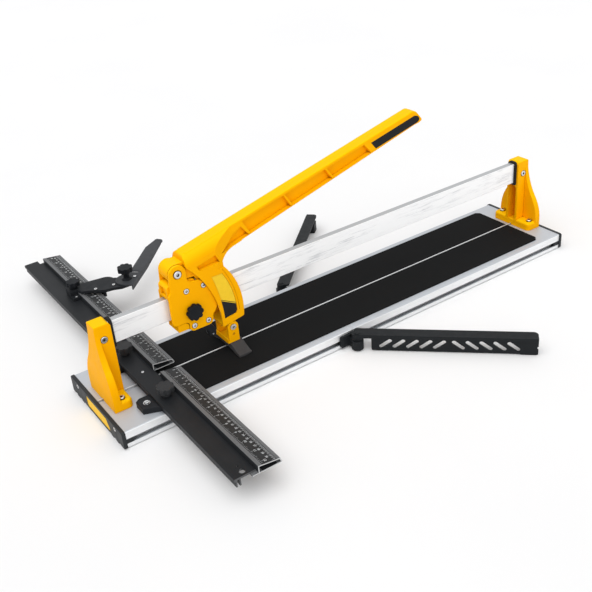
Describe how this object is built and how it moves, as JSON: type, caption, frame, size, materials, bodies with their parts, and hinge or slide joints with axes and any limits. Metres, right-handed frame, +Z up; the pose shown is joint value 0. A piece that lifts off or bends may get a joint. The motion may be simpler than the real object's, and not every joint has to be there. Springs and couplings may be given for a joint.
{
  "type": "manual tile cutter",
  "caption": "Manual tile cutter: extruded bed with guide rail on end posts, sliding carriage with scoring wheel, lever and breaking foot, lateral stop with angle fence and swing-out arms.",
  "frame": {"origin": "on the table, under the middle of the bed, on the breaking line", "axes": "+X along the rail from the stop end to the far end, +Y to the back, +Z up"},
  "size_m": [0.956, 0.83, 0.3387],
  "materials": {
    "yellow_paint": "glossy",
    "bed_aluminium": "satin",
    "rail_aluminium": "brushed",
    "dark_anodised": "satin anodised",
    "dark_plastic": "fine grain",
    "knob_plastic": "matte",
    "black_rubber": "matte",
    "bright_steel": "bright",
    "label_yellow": "printed film, plain",
    "white_print": "printed ink"
  },
  "bodies": {
    "base": {"bed_extrusion": "bed_aluminium", "breaking_bar": "bed_aluminium", "front_pad": "black_rubber", "rear_pad": "black_rubber", "end_cap_left": "dark_plastic", "end_cap_right": "dark_plastic", "end_cap_screws": "bright_steel", "end_cap_labels": "label_yellow", "rubber_feet": "black_rubber", "post_left": "yellow_paint", "post_right": "yellow_paint", "post_screws": "bright_steel", "rail": "rail_aluminium", "rail_screws": "bright_steel", "rail_buffer_left": "black_rubber", "rail_buffer_right": "black_rubber", "stop_plate": "dark_anodised", "ruler_rear": "dark_anodised", "ruler_front": "dark_anodised", "ruler_screws": "bright_steel", "stop_block_front": "dark_plastic", "stop_block_rear": "dark_plastic", "block_screws": "bright_steel", "arm_bracket_front": "dark_plastic", "arm_bracket_rear": "dark_plastic", "arm_pins": "bright_steel"},
    "carriage": {"carriage_plate_near": "yellow_paint", "carriage_plate_far": "yellow_paint", "carriage_bridge": "yellow_paint", "carriage_floor": "yellow_paint", "slide_pad": "dark_plastic", "carriage_bolts": "bright_steel", "pivot_bolt": "bright_steel"},
    "left_roller": {"guide_roller_left": "bright_steel"},
    "right_roller": {"guide_roller_right": "bright_steel"},
    "wheel_clamp": {"star_knob": "knob_plastic"},
    "wheel_carrier": {"wheel_holder": "dark_plastic", "wheel_axle": "bright_steel"},
    "cutting_wheel": {"scoring_wheel": "bright_steel"},
    "handle": {"lever": "yellow_paint", "grip_inserts": "black_rubber", "lever_labels": "label_yellow"},
    "foot": {"foot_bracket": "yellow_paint", "foot_wings": "dark_plastic", "foot_pin": "bright_steel"},
    "front_clamp": {"clamp_knob_front": "knob_plastic"},
    "rear_clamp": {"clamp_knob_rear": "knob_plastic"},
    "slider": {"slider_body": "dark_plastic", "slider_screws": "bright_steel"},
    "slider_clamp": {"slider_knob": "knob_plastic"},
    "fence": {"fence_blade": "dark_plastic", "fence_screw": "bright_steel"},
    "fence_clamp": {"fence_knob": "knob_plastic"},
    "front_arm": {"arm_front": "dark_plastic"},
    "rear_arm": {"arm_rear": "dark_plastic"}
  },
  "joints": [
    {"name": "carriage_slide", "type": "slide", "parent": "base", "child": "carriage", "axis": [1, 0, 0], "range_m": [-0.085, 0.608]},
    {"name": "left_roller_spin", "type": "hinge", "parent": "carriage", "child": "left_roller", "pos_m": [-0.302, 0, 0.1707], "axis": [0, 1, 0], "continuous": true},
    {"name": "right_roller_spin", "type": "hinge", "parent": "carriage", "child": "right_roller", "pos_m": [-0.2711, 0, 0.1707], "axis": [0, 1, 0], "continuous": true},
    {"name": "wheel_clamp_turn", "type": "hinge", "parent": "carriage", "child": "wheel_clamp", "pos_m": [-0.295, -0.022, 0.1326], "axis": [0, -1, 0], "continuous": true},
    {"name": "wheel_height", "type": "slide", "parent": "carriage", "child": "wheel_carrier", "axis": [0, 0, 1], "range_m": [-0.03, 0]},
    {"name": "cutting_wheel_spin", "type": "hinge", "parent": "wheel_carrier", "child": "cutting_wheel", "pos_m": [-0.264, 0, 0.074], "axis": [0, 1, 0], "continuous": true},
    {"name": "handle_pivot", "type": "hinge", "parent": "carriage", "child": "handle", "pos_m": [-0.3125, 0, 0.2045], "axis": [0, -1, 0], "range_deg": [0, 13]},
    {"name": "foot_tilt", "type": "hinge", "parent": "handle", "child": "foot", "pos_m": [-0.2305, 0, 0.077], "axis": [0, 1, 0], "range_deg": [-18, 18]},
    {"name": "front_clamp_turn", "type": "hinge", "parent": "base", "child": "front_clamp", "pos_m": [-0.3877, -0.074, 0.055], "axis": [0, 0, 1], "continuous": true},
    {"name": "rear_clamp_turn", "type": "hinge", "parent": "base", "child": "rear_clamp", "pos_m": [-0.3877, 0.074, 0.055], "axis": [0, 0, 1], "continuous": true},
    {"name": "slider_travel", "type": "slide", "parent": "base", "child": "slider", "axis": [0, 1, 0], "range_m": [-0.175, 0.155]},
    {"name": "slider_clamp_turn", "type": "hinge", "parent": "slider", "child": "slider_clamp", "pos_m": [-0.373, 0.3215, 0.066], "axis": [0, 0, 1], "continuous": true},
    {"name": "fence_swivel", "type": "hinge", "parent": "slider", "child": "fence", "pos_m": [-0.284, 0.279, 0.0615], "axis": [0, 0, 1], "range_deg": [-45, 45]},
    {"name": "fence_clamp_turn", "type": "hinge", "parent": "slider", "child": "fence_clamp", "pos_m": [-0.284, 0.279, 0.075], "axis": [0, 0, 1], "continuous": true},
    {"name": "front_arm_swing", "type": "hinge", "parent": "base", "child": "front_arm", "pos_m": [-0.0486, -0.115, 0.02], "axis": [0, 0, 1], "range_deg": [-46, 44]},
    {"name": "rear_arm_swing", "type": "hinge", "parent": "base", "child": "rear_arm", "pos_m": [-0.0486, 0.115, 0.02], "axis": [0, 0, 1], "range_deg": [-44, 46]}
  ],
  "couplings": [
    {"joint": "left_roller_spin", "follows": "carriage_slide", "rad_per_m": 144.93},
    {"joint": "right_roller_spin", "follows": "carriage_slide", "rad_per_m": 144.93}
  ]
}
